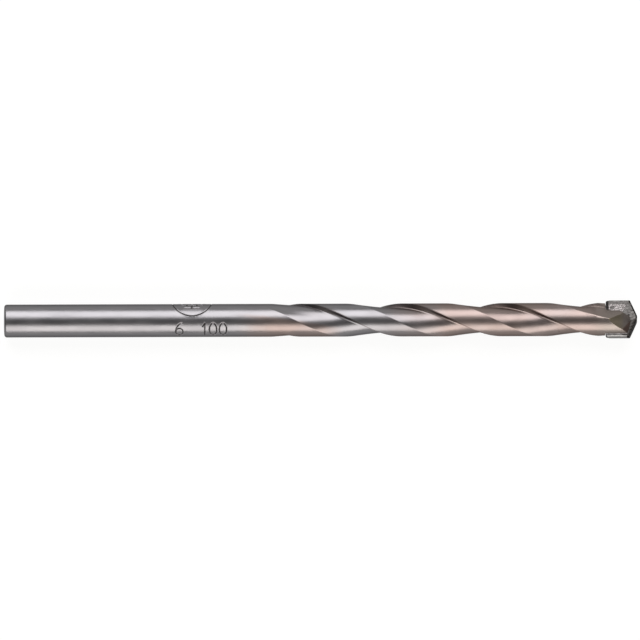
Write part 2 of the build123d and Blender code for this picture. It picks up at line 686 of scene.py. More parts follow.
    def material(self, body: "DrillBody") -> bpy.types.Material:
        """Builds the finish.

        Args:
            body: The steel piece, for its ground planes.

        Returns:
            The material.
        """
        graph = Graph("polished_steel")
        x, y, z = graph.axes()
        out = graph.math("SQRT", graph.plus(graph.times(y, y), graph.times(z, z)))
        heat = self.heat(graph, x, y)
        colour = graph.colours(heat, self.neutral, self.warm)
        at_tip = graph.span_mm(x, *self.tip_along, (0, self.tip_strength))
        colour = graph.colours(at_tip, colour, self.tip)
        colour = graph.darkened(colour, graph.patches(self.clouds), self.cloud)
        # Darker where the surface is sunk into the pressed marks.
        sunk = graph.times(
            graph.span_mm(out, *(SHANK_RADIUS - depth for depth in self.groove_darkening_depth)),
            graph.span_mm(x, *self.groove_darkening_fall_along),
            graph.span_mm(x, *self.groove_darkening_rise_along),
        )
        colour = graph.darkened(colour, sunk, self.groove_darkening)
        specks = graph.times(graph.patches(self.specks), graph.span_mm(x, *self.specks_along))
        colour = graph.darkened(colour, specks, self.speck)
        # Heat tint and painted shade on the ground relief planes of the nose.
        ground = self.near_plane(graph, body.relief_normal, body.relief_setback)
        colour = graph.darkened(colour, ground, self.scorch_and_shade)
        bevel = self.near_plane(graph, body.bevel_normal, body.bevel_setback)
        olive = graph.times(bevel, graph.span_mm(x, *self.olive_along))
        colour = graph.darkened(colour, olive, self.olive)
        # Painted shade: the steep walls under the cutting edges and a strip along each edge are
        # darkened.
        wall = self.painted_wall_shade_share(graph, body.flutes, (x, y, z), out)
        colour = graph.darkened(colour, wall, self.painted_wall_shade)
        roughness = graph.span(heat, 0, 1, (self.roughness, self.warm_roughness))
        roughness = graph.plus(roughness, graph.patches(self.polish))
        return graph.metal(colour, roughness, graph.bumps(self.skin), self.edge_tint)


@dataclass(frozen=True)
class CarbideFinish:
    """Dull grey sintered carbide with a fine grain and faint grinding lines."""

    grey: Triple = (0.1, 0.096, 0.092)
    dark: Triple = (0.07, 0.066, 0.063)
    # Colour of the painted shade on the honed strips and the roof.
    honed: Triple = (0.45, 0.43, 0.42)
    ends: Triple = (0.25, 0.245, 0.24)
    # Colour of the painted shade on the trailing halves of the faces and the roof.
    trailing_shade: Triple = (0.5, 0.49, 0.48)
    edge_tint: float = 0.4
    trailing_area: Span = (0.1, -0.35)
    trailing_along: Span = (TIP_X - 2.6, TIP_X - 2.2)
    ends_share_of_rim: Span = (0.92, 0.99)
    honed_behind: Span = (1.15, 0.75)
    roof_lift: float = 0.4
    blotches: Patches = Patches(1800, detail=5.0, seen=(0.4, 0.66))
    roughness: Patches = Patches(2500, gives=(0.3, 0.46))
    skin: tuple[Bumps, ...] = (
        Bumps(16000, detail=4.0, depth=2.5e-6),
        Bumps(7000, (1, 0.04, 0.04), 2.0, 1.5e-6),
    )

    def plate_axes(self, graph: Graph) -> tuple[Socket, Socket, Socket]:
        """Turns the place into the plate's own plane, which leans round the axis.

        Args:
            graph: The material's nodes.

        Returns:
            The place along the bit, across the plate and through it, in metres.
        """
        x, y, z = graph.axes()
        lean = math.radians(PLATE_ROLL)
        across = graph.plus(graph.times(y, math.cos(lean)), graph.times(z, -math.sin(lean)))
        thick = graph.plus(graph.times(y, math.sin(lean)), graph.times(z, math.cos(lean)))
        return x, across, thick

    def trailing_shade_share(self, graph: Graph) -> Socket:
        """Share of painted shade: 1 on the half of each flat face that trails behind the point.

        It reads w t, the product of the places across and through the plate.

        Args:
            graph: The material's nodes.

        Returns:
            The share's socket.
        """
        x, across, thick = self.plate_axes(graph)
        area = [size * MM**2 for size in self.trailing_area]
        share = graph.span(graph.times(across, thick), *area)
        return graph.times(share, graph.span_mm(x, *self.trailing_along))

    def ends_share(self, graph: Graph, plate: "CarbidePlate") -> Socket:
        """Share that is 1 on the ground round ends of the plate, by y^2 + z^2.

        Args:
            graph: The material's nodes.
            plate: The plate, for its width.

        Returns:
            The share's socket.
        """
        y, z = graph.axes()[1:]
        rim = (plate.width / 2 * MM) ** 2
        out = graph.plus(graph.times(y, y), graph.times(z, z))
        return graph.span(out, *(share * rim for share in self.ends_share_of_rim))

    def honed_and_roof_shade_share(self, graph: Graph, plate: "CarbidePlate") -> Socket:
        """Share of painted shade: 1 on the honed strip behind each lip and on the roof, 0
        elsewhere.

        It reads how far the place is behind the roof, -|fall w - relief t| - x.

        Args:
            graph: The material's nodes.
            plate: The plate, for its angles and the strip's width.

        Returns:
            The share's socket.
        """
        x, across, thick = self.plate_axes(graph)
        fall = 1 / math.tan(math.radians(plate.point_angle / 2))
        relief = math.tan(math.radians(plate.relief))
        slope = graph.plus(graph.times(across, fall), graph.times(thick, -relief))
        behind = graph.plus(graph.math("ABSOLUTE", slope), x)
        roof = TIP_X + self.roof_lift * plate.blunt
        return graph.span_mm(behind, *(roof - share * plate.honed for share in self.honed_behind))

    def material(self, plate: "CarbidePlate") -> bpy.types.Material:
        """Builds the finish.

        Args:
            plate: The plate, for where its lips are.

        Returns:
            The material.
        """
        graph = Graph("sintered_carbide")
        colour = graph.colours(graph.patches(self.blotches), self.grey, self.dark)
        # Painted shade on the honed strips and the roof.
        honed = self.honed_and_roof_shade_share(graph, plate)
        colour = graph.darkened(colour, honed, self.honed)
        # Painted shade on the trailing half of each face and of the roof.
        colour = graph.darkened(colour, self.trailing_shade_share(graph), self.trailing_shade)
        ends = graph.math("SUBTRACT", self.ends_share(graph, plate), honed)
        colour = graph.colours(graph.largest(ends, 0), colour, self.ends)
        roughness = graph.patches(self.roughness)
        return graph.metal(colour, roughness, graph.bumps(self.skin), self.edge_tint)


@dataclass(frozen=True)
class BrazeFinish:
    """Bright pinkish silver braze, mottled with dull flux stains."""

    bright: Triple = (0.235, 0.22, 0.215)
    dull: Triple = (0.14, 0.128, 0.124)
    stains: Patches = Patches(2600, detail=5.0, seen=(0.46, 0.62))
    roughness: Patches = Patches(3500, gives=(0.38, 0.55))
    skin: tuple[Bumps, ...] = (Bumps(4200, depth=5.0e-6),)

    def material(self) -> bpy.types.Material:
        """Builds the finish.

        Returns:
            The material.
        """
        graph = Graph("silver_braze")
        colour = graph.colours(graph.patches(self.stains), self.bright, self.dull)
        return graph.metal(colour, graph.patches(self.roughness), graph.bumps(self.skin))


@dataclass(frozen=True)
class FloorFinish:
    """Plain pale paint that shows near white and keeps the bit's shadow."""

    pale: Triple = (0.88, 0.88, 0.875)
    lifted: float = 0.9

    def material(self, name: str, shown_outside: float) -> bpy.types.Material:
        """Builds the finish: matt paint, with part of what is seen of it lifted to white.

        Args:
            name: Name of the material.
            shown_outside: 1 for both sides painted, 0 for one that is clear from outside.

        Returns:
            The material.
        """
        graph = Graph(name)
        paint = graph.node("ShaderNodeBsdfDiffuse")
        paint.inputs["Color"].default_value = (*self.pale, 1.0)
        glow = graph.node("ShaderNodeEmission")
        glow.inputs["Color"].default_value = (1.0, 1.0, 0.995, 1.0)
        glow.inputs["Strength"].default_value = 1.0
        rays = graph.node("ShaderNodeLightPath").outputs
        kinds = ("Is Camera Ray", "Is Glossy Ray", "Is Transmission Ray")
        seen = graph.largest(*(rays[kind] for kind in kinds))
        mix = graph.node("ShaderNodeMixShader")
        graph.put(mix.inputs[0], graph.times(seen, self.lifted))
        graph.put(mix.inputs[1], paint.outputs[0])
        graph.put(mix.inputs[2], glow.outputs[0])
        inner = graph.node("ShaderNodeMixShader")
        inside = graph.node("ShaderNodeNewGeometry").outputs["Backfacing"]
        graph.put(inner.inputs[0], graph.largest(inside, shown_outside))
        graph.put(inner.inputs[1], graph.node("ShaderNodeBsdfTransparent").outputs[0])
        graph.put(inner.inputs[2], mix.outputs[0])
        graph.put(graph.output.inputs["Surface"], inner.outputs[0])
        return graph.material


# The steel body


@dataclass
class Flutes:
    """Two flutes that twist right-handed, run out into the shank and straighten at the tip.

    A flute's section is given by degrees round from the heel edge and depths under the land.
    """

    pitch: float = 31.66
    start: float = 41.2
    straightens_at: float = 89.5
    straightening: float = 6.1
    edge_straightens_at: float = 96.0
    heel_on_top_at: float = 45.99
    width: float = 102.0
    ramp_rise: float = 0.1
    ramp_delay: float = 0.0225
    ramp_round: float = 0.12
    edge_round: float = 0.02
    around: tuple[float, ...] = (
        -12, 0, 12, 26, 43, 60, 75, 86, 92, 96, 98, 99.6, 102, 103.5
    )
    depth: tuple[float, ...] = (
        -0.17, 0, 0.155, 0.317, 0.488, 0.63, 0.728, 0.775, 0.782, 0.715, 0.595, 0.4, 0, -0.25
    )

    def steady_roll(self, station: Array) -> Array:
        """Roll of the first flute's heel edge where it twists steadily."""
        return 90 + 360 / self.pitch * (station - self.heel_on_top_at)

    def heel_roll(self, station: Array) -> Array:
        """Roll of the first flute's heel edge, whose twist slows to none behind the tip.

        From its station on, the twist goes on by d (t - t^2 / 2), where t rises from 0 to 1.

        Args:
            station: Stations along the bit.

        Returns:
            The roll at each of them, in degrees.
        """
        share = np.clip((station - self.straightens_at) / self.straightening, 0, 1)
        slowing = self.straightening * (share - share**2 / 2)
        return self.steady_roll(np.minimum(station, self.straightens_at) + slowing)

    def squeeze(self, station: Array) -> Array:
        """Share of its full width that a flute keeps where its heel lags behind its edge."""
        edge = self.steady_roll(np.minimum(station, self.edge_straightens_at))
        return 1 - (edge - self.heel_roll(station)) / self.width

    def radius(self, station: Array, around: Array, land: Array) -> Array:
        """Distance from the axis at each point: the land, or the flute's floor under it.

        The floor is land - min(depth(around), rise (station - start - delay around)), so a
        flute is no deeper than a ramp where it starts.

        Args:
            station: Station of each point.
            around: Degrees of the full section from the heel edge back to each point.
            land: Radius of the land at each point.

        Returns:
            The radius at each point.
        """
        first, last = self.around[0], self.around[-1]
        knots, depths = np.array(self.around, float), np.array(self.depth, float)
        depth = spline_through(np.clip(around, first, last), knots, depths)
        ramp = self.ramp_rise * (station - self.start - self.ramp_delay * around)
        floor = land - rounded_min(depth, ramp, self.ramp_round)
        floor = np.where((around >= first) & (around <= last), floor, land + 1)
        return rounded_min(land, floor, self.edge_round)


@dataclass
class ShankMarks:
    """Size figures and a plain brickwork sign pressed into the shank.

    The rim beside a groove has its place and width in groove-widths.
    """

    depth: float = 0.065
    groove: float = 0.13
    rim: float = 0.014
    rim_at: float = 1.35
    rim_width: float = 0.45
    figure_height: float = 2.3
    figure_width: float = 1.15
    figure_gap: float = 0.42
    after_one: float = -0.35
    figures_foot_roll: float = 149.0
    size_at: float = 27.1
    length_at: float = 31.2
    sign_at: float = 29.66
    sign_roll: float = 6.2
    sign_radius: float = 3.07
    wall_radius: float = 2.0
    course: float = 0.8
    brick: float = 1.55

    def figure(self, name: str, left: float) -> list[Array]:
        """Strokes of one figure, with its foot on the base line.

        Args:
            name: The figure, one of 0, 1 and 6.
            left: Where its left side is.

        Returns:
            Its strokes in the unrolled surface.
        """
        wide, high = self.figure_width, self.figure_height
        if name == "1":
            shapes = [np.array([(0.1, 0.74), (0.42, 1.0), (0.42, 0.0)])]
        elif name == "0":
            shapes = [oval((0.5, 0.5), (0.5, 0.5))]
        else:
            turn = np.linspace(0.5 * math.pi, math.pi, 14)
            back = np.stack([0.88 + 0.88 * np.cos(turn), 0.3 + 0.7 * np.sin(turn)], 1)
            shapes = [oval((0.5, 0.3), (0.5, 0.3)), back]
        return [shape * (wide, high) + (left, 0) for shape in shapes]

    def figure_strokes(self) -> list[Array]:
        """Strokes of both size figures, the width first and then the length.

        Returns:
            The strokes in the unrolled surface.
        """
        step = self.figure_width + self.figure_gap
        strokes = self.figure("6", self.size_at) + self.figure("1", self.length_at)
        for place in (1, 2):
            strokes += self.figure("0", self.length_at + place * step + self.after_one)
        return strokes

    def sign_strokes(self) -> list[Array]:
        """Strokes of the sign: a ring round four courses of bricks with staggered joints.

        Returns:
            The strokes in the unrolled surface, about the sign's middle.
        """
        strokes = [oval((0, 0), (self.sign_radius, self.sign_radius), 96)]
        for row in range(-2, 3):
            level = row * self.course
            half = math.sqrt(self.wall_radius**2 - level**2)
            strokes.append(np.array([(-half, level), (half, level)]))
            for joint in range(-2, 3):
                across = (joint + (row % 2) / 2) * self.brick
                low, high = level, level + self.course
                if math.hypot(across, max(abs(low), abs(high))) < self.wall_radius:
                    strokes.append(np.array([(across, low), (across, high)]))
        return strokes

    def relief(self, station: Array, roll: Array) -> Array:
        """Height of the surface over the plain shank: grooves with a low rim beside them.

        A groove is -depth (1 - 3 t^2 + 2 t^3) at t groove-widths from its stroke, and its rim
        is a narrow bell beside it.

        Args:
            station: Station of each point.
            roll: Roll of each point in degrees.

        Returns:
            The height at each point, in millimetres.
        """
        arc = math.radians(1) * SHANK_RADIUS
        height = ((self.figures_foot_roll - roll + 180) % 360 - 180) * arc
        gap = distance_to(self.figure_strokes(), station, height)
        across = station - self.sign_at
        up = ((self.sign_roll - roll + 180) % 360 - 180) * arc
        gap = np.minimum(gap, distance_to(self.sign_strokes(), across, up))
        groove = -self.depth * (1 - eased(gap, 0, self.groove))
        beside = (gap - self.rim_at * self.groove) / (self.rim_width * self.groove)
        return groove + self.rim * np.exp(-(beside**2))


@dataclass
class DrillBody:
    """Shank and fluted body in one piece of steel, slotted and ground at the nose.

    Knots are stations or degrees, and each count is how many rings or columns lie between
    one knot and the next.
    """

    crisp_over: float = 24.0
    end_round: float = 0.42
    end_turns: tuple[float, ...] = (1, 8, 20, 35, 50, 65, 80)
    end_step: float = 0.05
    cap_shares: Span = (0.1, 0.7)
    relief_normal: Triple = (0.6, 0.038, 0.8)
    relief_setback: float = -0.35
    bevel_normal: Triple = (0.42, 0.27, 0.865)
    bevel_setback: float = -0.967
    cone_setback: float = 0.4
    cone_angle: float = 65.25
    gash_roll: float = 35.0
    gash_bend_at: float = -4.12
    gash_distance: float = 1.57
    gash_lean: float = 0.09
    gash_bend: float = 0.1
    gash_bend_round: float = 0.5
    foot_roll: float = 3.0
    foot_at: float = -3.87
    foot_distance: float = 1.61
    foot_curve: float = 0.171
    foot_rise: float = 2.0
    foot_least: float = 0.7
    break_roll: float = 62.0
    break_depth: float = 0.022
    break_borders: Span = (66.0, 74.0)
    break_low: float = -1.5
    cuts_from: float = -16.0
    foot_cut_from: float = -6.0
    cuts_to: float = 3.0
    cut_rings: int = 77
    foot_rings: int = 61
    slot_floor: float = -5.02
    slot_front: float = 2.0
    slot_reach: float = 6.0
    slot_half: float = 0.98
    marks_from: float = 24.2
    marks_to: float = 36.4
    shank_knot: float = 3.0
    body_knots: tuple[float, ...] = (41.3, 50, 89.5, 98.3, 99.58)
    ring_counts: tuple[int, ...] = (4, 20, 172, 10, 46, 158, 46, 12)
    column_knots: tuple[float, ...] = (0, 2.4, 12, 76, 93, 98, 103.2, 110, 177.6, 180)
    column_counts: tuple[int, ...] = (6, 6, 17, 10, 8, 13, 4, 12, 6)
    marks_rolls: Span = (66.0, 210.0)
    shank_columns: tuple[int, ...] = (69, 20, 75)
    follows_to: float = 40.8
    follows_from: float = 41.4
    ahead_from: float = 150.0
    ramp_lead: float = 0.3
    flutes: Flutes = field(default_factory=Flutes)
    marks: ShankMarks = field(default_factory=ShankMarks)

    def land_radius(self, station: Array) -> Array:
        """Radius of the bar: a round end, straight along the shank, then widening a little.

        The end is a quarter circle of radius e: r - e (1 - sqrt(1 - b^2)), b = 1 - station / e.

        Args:
            station: Stations along the bit.

        Returns:
            The radius at each of them.
        """
        share = np.clip(station - self.flutes.start, 0, None) / (BIT_LENGTH - self.flutes.start)
        radius = SHANK_RADIUS + (TIP_RADIUS - SHANK_RADIUS) * share
        back = np.clip(1 - station / self.end_round, 0, 1)
        return radius - self.end_round * (1 - np.sqrt(1 - back**2))

    def stations(self) -> Array:
        """Stations of the rings, close together over the marks and along the flutes.

        Returns:
            The stations, with those of the end face's inner rings first.
        """
        first = self.end_round + self.end_step
        knots = (first, self.shank_knot, self.marks_from, self.marks_to, *self.body_knots)
        rings = graded(knots, self.ring_counts)
        end = self.end_round * (1 - np.cos(np.radians(self.end_turns)))
        return np.concatenate([np.zeros(len(self.cap_shares)), end, rings])

    def rolls(self, station: Array) -> Array:
        """Roll of each column at each station.

        Over the marks the columns lie close together on the marked side. By the start of the
        flutes they have moved to follow the heel and cutting edges as these twist.

        Args:
            station: Stations of the rings, as a column.

        Returns:
            (ring, column) array of rolls in degrees.
        """
        half = graded(self.column_knots, self.column_counts)[:-1]
        wide, squeeze = self.flutes.width, self.flutes.squeeze(station)
        in_flute = np.minimum(half, wide) * squeeze
        in_land = np.maximum(half - wide, 0) / (180 - wide) * (180 - wide * squeeze)
        behind = in_flute + in_land
        heel = self.flutes.heel_roll(np.maximum(station, self.follows_from))
        followed = heel - np.concatenate([behind, behind + 180], axis=1)
        heel_first = float(self.flutes.heel_roll(np.array(self.follows_from)))
        edges = (-heel_first, *self.marks_rolls, 360 - heel_first)
        even = -graded(edges, self.shank_columns)[:-1]
        moved = eased(station, self.marks_to, self.follows_to)
        return even * (1 - moved) + followed * moved

    def surface(self) -> Array:
        """Rings of the bar with marks, flutes and nose cone: (station, r cos roll, r sin roll).

        The first rings lie within the end face, so that its cap stays flat.

        Returns:
            (ring, column, xyz) array, in place.
        """
        station = self.stations()[:, None]
        roll = self.rolls(station)
        station = np.broadcast_to(station, roll.shape)
        radius = self.land_radius(station)
        squeeze = self.flutes.squeeze(station)
        behind = (self.flutes.heel_roll(station) - roll) % 180
        behind = np.where(behind > self.ahead_from, behind - 180, behind)
        fluted = self.flutes.radius(station, behind / squeeze, radius)
        radius = np.where(station > self.flutes.start - self.ramp_lead, fluted, radius)
        cone = BIT_LENGTH - self.cone_setback - station
        radius = np.minimum(radius, cone * math.tan(math.radians(self.cone_angle)))
        radius[: len(self.cap_shares)] *= np.array(self.cap_shares)[:, None]
        marked = (station[:, 0] > self.marks_from) & (station[:, 0] < self.marks_to)
        radius[marked] += self.marks.relief(station[marked], roll[marked])
        turn = np.radians(roll)
        return placed(station - TIP_X, radius * np.cos(turn), radius * np.sin(turn))

    def half_space(self, normal: Triple, setback: float, side: Side) -> Array:
        """A large block on the outer side of a plane, as two rings of four corners.

        Args:
            normal: The plane's outward normal.
            setback: Where the plane meets the axis, measured back from the tip.
            side: Which of the two like sides it cuts.

        Returns:
            The block's rings, in place.
        """
        outward = np.array(normal) / np.linalg.norm(normal)
        first = np.cross(outward, (0, 0, 1))
        first = first / np.linalg.norm(first)
        second = np.cross(outward, first)
        corners = SQUARE * BLOCK_SIZE
        flat = corners[:, :1] * first + corners[:, 1:] * second
        block = np.stack([flat, flat + outward * BLOCK_SIZE]) + np.array([TIP_X - setback, 0, 0])
        return placed(*np.moveaxis(turned(block, side), -1, 0))

    def gash_block(
        self, roll: float, back: Array, distance: Array, low: float, side: Side
    ) -> Array:
        """Space that a ground gash takes: everything further out than a curved face.

        The face is at distance(x) from the axis, measured square to a fixed roll.

        Args:
            roll: Roll of the face's outward normal, in degrees.
            back: Rising places along the bit, measured from the tip.
            distance: The face's distance at each of them.
            low: Where the block starts, measured along the face from the axis' level.
            side: Which of the two like sides it cuts.

        Returns:
            The block's rings, in place.
        """
        far = np.full(distance.shape, BLOCK_REACH)
        out = np.stack([distance, distance, far, far], axis=1)
        along = np.array([low, BLOCK_REACH, BLOCK_REACH, low])
        turn = math.radians(roll)
        y = out * math.cos(turn) - along * math.sin(turn)
        z = out * math.sin(turn) + along * math.cos(turn)
        x = np.broadcast_to(TIP_X + back[:, None], y.shape)
        block = turned(np.stack([x, y, z], axis=-1), side)
        return placed(*np.moveaxis(block, -1, 0))

    def ground_limit(self, y: Array, z: Array) -> Array:
        """How far along the bit the ground nose reaches, measured from the tip.

        Args:
            y: Places across the bit.
            z: Places above its axis.

        Returns:
            The least of the relief's, the bevel's and the gash foot's limit at each place.
        """
        limits = [
            -setback - (normal[1] * y + normal[2] * z) / normal[0]
            for normal, setback in (
                (self.relief_normal, self.relief_setback),
                (self.bevel_normal, self.bevel_setback),
            )
        ]
        turn = math.radians(self.foot_roll)
        room = self.foot_distance - y * math.cos(turn) - z * math.sin(turn)
        limits.append(self.foot_at + np.sqrt(np.clip(room, 0, None) / self.foot_curve))
        return np.minimum.reduce(limits)

    def gash_face(self, back: Array) -> Array:
        """Distance of the gash from the axis: flat, then bent outwards behind its bend.

        It is d + lean b + bend (sqrt(b^2 + e^2) - e), where b is how far behind the bend it is.

        Args:
            back: Places along the bit, measured from the tip.

        Returns:
            The distance at each of them.
        """
        behind = self.gash_bend_at - back
        bent = np.hypot(behind, self.gash_bend_round) - self.gash_bend_round
        return self.gash_distance + self.gash_lean * behind + self.gash_bend * bent

    def foot_face(self, back: Array) -> Array:
        """Distance of the gash's foot: d - curve p^2 past its start, d + rise q^1.5 before it.

        Args:
            back: Places along the bit, measured from the tip.

        Returns:
            The distance at each of them.
        """
        past = np.maximum(back - self.foot_at, 0)
        before = np.maximum(self.foot_at - back, 0)
        foot = self.foot_distance - self.foot_curve * past**2 + self.foot_rise * before**1.5
        return np.maximum(foot, self.foot_least)

    def break_face(self, gash: Array) -> Array:
        """Distance of the thin chamfer that breaks the edge between the gash and the land.

        The edge is at a roll of gash_roll + arccos(gash / r), and the chamfer lies break_depth
        under it. Where the edge comes too near the chamfer's own roll, nothing is cut.

        Args:
            gash: The gash's distance at each place along the bit.

        Returns:
            The chamfer's distance at the same places.
        """
        border = self.gash_roll + np.degrees(np.arccos(np.clip(gash / TIP_RADIUS, -1, 1)))
        face = TIP_RADIUS * np.cos(np.radians(border - self.break_roll))
        face = face - self.break_depth * eased(border, *self.break_borders)
        return np.where(border > self.break_roll, face, TIP_RADIUS + 1)

    def cutters(self) -> list[bpy.types.Object]:
        """Solids of all that is cut from the bar: slot, gashes, nose reliefs and bevels.

        Returns:
            The cutters, each a closed piece.
        """
        made = []
        back = np.linspace(self.cuts_from, self.cuts_to, self.cut_rings)
        foot_back = np.linspace(self.foot_at + self.foot_cut_from, self.cuts_to, self.foot_rings)
        gash, foot = self.gash_face(back), self.foot_face(foot_back)
        edge_break = self.break_face(gash)
        for side in Side:
            blocks = {
                "relief": self.half_space(self.relief_normal, self.relief_setback, side),
                "bevel": self.half_space(self.bevel_normal, self.bevel_setback, side),
                "gash": self.gash_block(self.gash_roll, back, gash, -BLOCK_REACH, side),
                "foot": self.gash_block(self.foot_roll, foot_back, foot, 0, side),
                "edge break": self.gash_block(
                    self.break_roll, back, edge_break, self.break_low, side
                ),
            }
            made += [tube_piece(name, [block]) for name, block in blocks.items()]
        corners = SQUARE * (self.slot_reach, self.slot_half)
        ends = np.array([self.slot_floor, self.slot_front])[:, None]
        slot = across_tip(ends, corners[:, 0], corners[:, 1])
        made.append(tube_piece("slot", [slot]))
        return made

    def build(self, finish: SteelFinish) -> bpy.types.Object:
        """Makes the steel piece and gives it its finish.

        Args:
            finish: The steel's finish.

        Returns:
            The piece.
        """
        piece = tube_piece("steel_body", [self.surface()])
        carve(piece, self.cutters())
        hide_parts("drill_body")
        return finish_piece(piece, finish.material(self), self.crisp_over)


# The plate and its braze


def across_tip(back: Array, across: Array, thick: Array) -> Array:
    """Points in the plate's own plane, which leans round the axis, put in place.

    Args:
        back: Place along the bit, measured from the tip.
        across: Place along the plate's width.
        thick: Place through its thickness, from its middle.

    Returns:
        The points in the row frame.
    """
    lean = math.radians(PLATE_ROLL)
    y = across * math.cos(lean) + thick * math.sin(lean)
    z = thick * math.cos(lean) - across * math.sin(lean)
    return placed(TIP_X + back, y, z)


@dataclass
class CarbidePlate:
    """The hard plate: round outer ends, a roof-shaped point and honed lips.

    A pit is given by its place along and across the face, its size and its depth.
    """

    crisp_over: float = 20.0
    width: float = 6.0
    thickness: float = 1.8
    length: float = 4.95
    point_angle: float = 130.5
    relief: float = 8.0
    blunt: float = 0.09
    back_chamfer: float = 0.25
    rear_bevel: float = 0.43
    rear_drop: float = 0.22
    honed: float = 0.27
    honed_drop: float = 0.1
    edge: float = 0.05
    lip_across: Span = (-0.1, 0.3)
    exposed_across: Span = (0.9, 1.2)
    roof_inset: float = 0.03
    roof_narrowing: float = 0.12
    unevenness: float = 0.006
    back_rings: tuple[float, ...] = (0.05, 0.4, 0.8, 0.98)
    side_rings: int = 50
    roof_rings: tuple[float, ...] = (1, 0.9, 0.75, 0.6, 0.45, 0.3, 0.15, 0.04)
    pits: tuple[tuple[float, float, float, float], ...] = (
        (-0.87, 1.09, 0.13, 0.05),
        (-1.36, 0.46, 0.12, 0.05),
        (-2.4, 2.62, 0.16, 0.03),
    )

    def front(self, across: Array, thick: Array) -> Array:
        """Where the roof is from the tip: e - sqrt(u^2 + e^2), where u = fall w - relief t.

        Args:
            across: Places across the plate, w.
            thick: Places through it, t.

        Returns:
            The roof's place along the bit at each of them.
        """
        fall = 1 / math.tan(math.radians(self.point_angle / 2))
        slope = fall * across - math.tan(math.radians(self.relief)) * thick
        return self.blunt - np.hypot(slope, self.blunt)

    def outline(self) -> tuple[Array, Array]:
        """The plate in section: flat faces and round ends, as one closed line.

        Returns:
            Place across and through the plate at each point.
        """
        half = self.thickness / 2
        end = math.sqrt((self.width / 2) ** 2 - half**2)
        flat = graded((-end + self.edge, -0.2, 0.2, end - self.edge), (34, 6, 34))
        round_end = np.linspace(half - self.edge, -half + self.edge, 15)
        bulge = np.sqrt((self.width / 2) ** 2 - round_end**2)
        across = np.concatenate([flat, bulge, -flat, -bulge])
        level = np.full(flat.shape, half)
        thick = np.concatenate([level, round_end, -level, -round_end])
        return across, thick

    def dents(self, back: Array, across: Array) -> Array:
        """Depth of small pits, each exp(-d^2) deep, and of unevenness in the flat faces.

        Args:
            back: Places along the bit, of opposite sign on the lower face.
            across: Places across the plate.

        Returns:
            The depth at each place.
        """
        depth = self.unevenness * mottle(back, across, 0.9, 5)
        for place, beside, size, deep in self.pits:
            gap = np.hypot(back - place, across - beside) / size
            depth = depth + deep * np.exp(-(gap**2))
        return depth

    def surface(self) -> Array:
        """Rings from the middle of the back, along the sides, to the middle of the point.

        Each ring is the section's outline, scaled inwards on the back and on the roof. Along a
        lip the side stops short of the roof, and the roof's first ring is further in, so that
        the honed strip lies between them.

        Returns:
            (ring, point, xyz) array, in place.
        """
        across, thick = self.outline()
        half, ahead = self.thickness / 2, across * np.sign(thick)
        lip = eased(ahead, *self.lip_across) * (np.abs(thick) > half - 2 * self.edge)
        rear = -self.length + np.clip(np.abs(across) - self.width / 2 + self.back_chamfer, 0, None)
        exposed = eased(ahead, *self.exposed_across)
        drop = 1 - self.rear_drop / half * exposed
        rings = [across_tip(rear, across * far, thick * far * drop) for far in self.back_rings]
        start = rear + self.edge + (self.rear_bevel - self.edge) * exposed
        stop = self.front(across, thick) - self.edge - (self.honed - self.edge) * lip
        outer = np.sign(thick) * (np.abs(thick) > half - self.edge / 5)
        for share in np.linspace(0, 1, self.side_rings):
            back = start + (stop - start) * share
            sunk = self.dents(back * outer, across) * outer
            rings.append(across_tip(back, across, thick - sunk))
        near_across = across * (1 - self.roof_narrowing / self.width)
        near_thick = thick * (1 - (self.roof_inset + self.honed_drop * lip) / half)
        for far in self.roof_rings:
            w, t = near_across * far, near_thick * far
            rings.append(across_tip(self.front(w, t), w, t))
        return np.stack(rings)

    def build(self, finish: CarbideFinish) -> bpy.types.Object:
        """Makes the plate and gives it its finish.

        Args:
            finish: The carbide's finish.

        Returns:
            The piece.
        """
        piece = tube_piece("carbide_plate", [self.surface()])
        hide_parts("carbide_tip")
        return finish_piece(piece, finish.material(self), self.crisp_over)


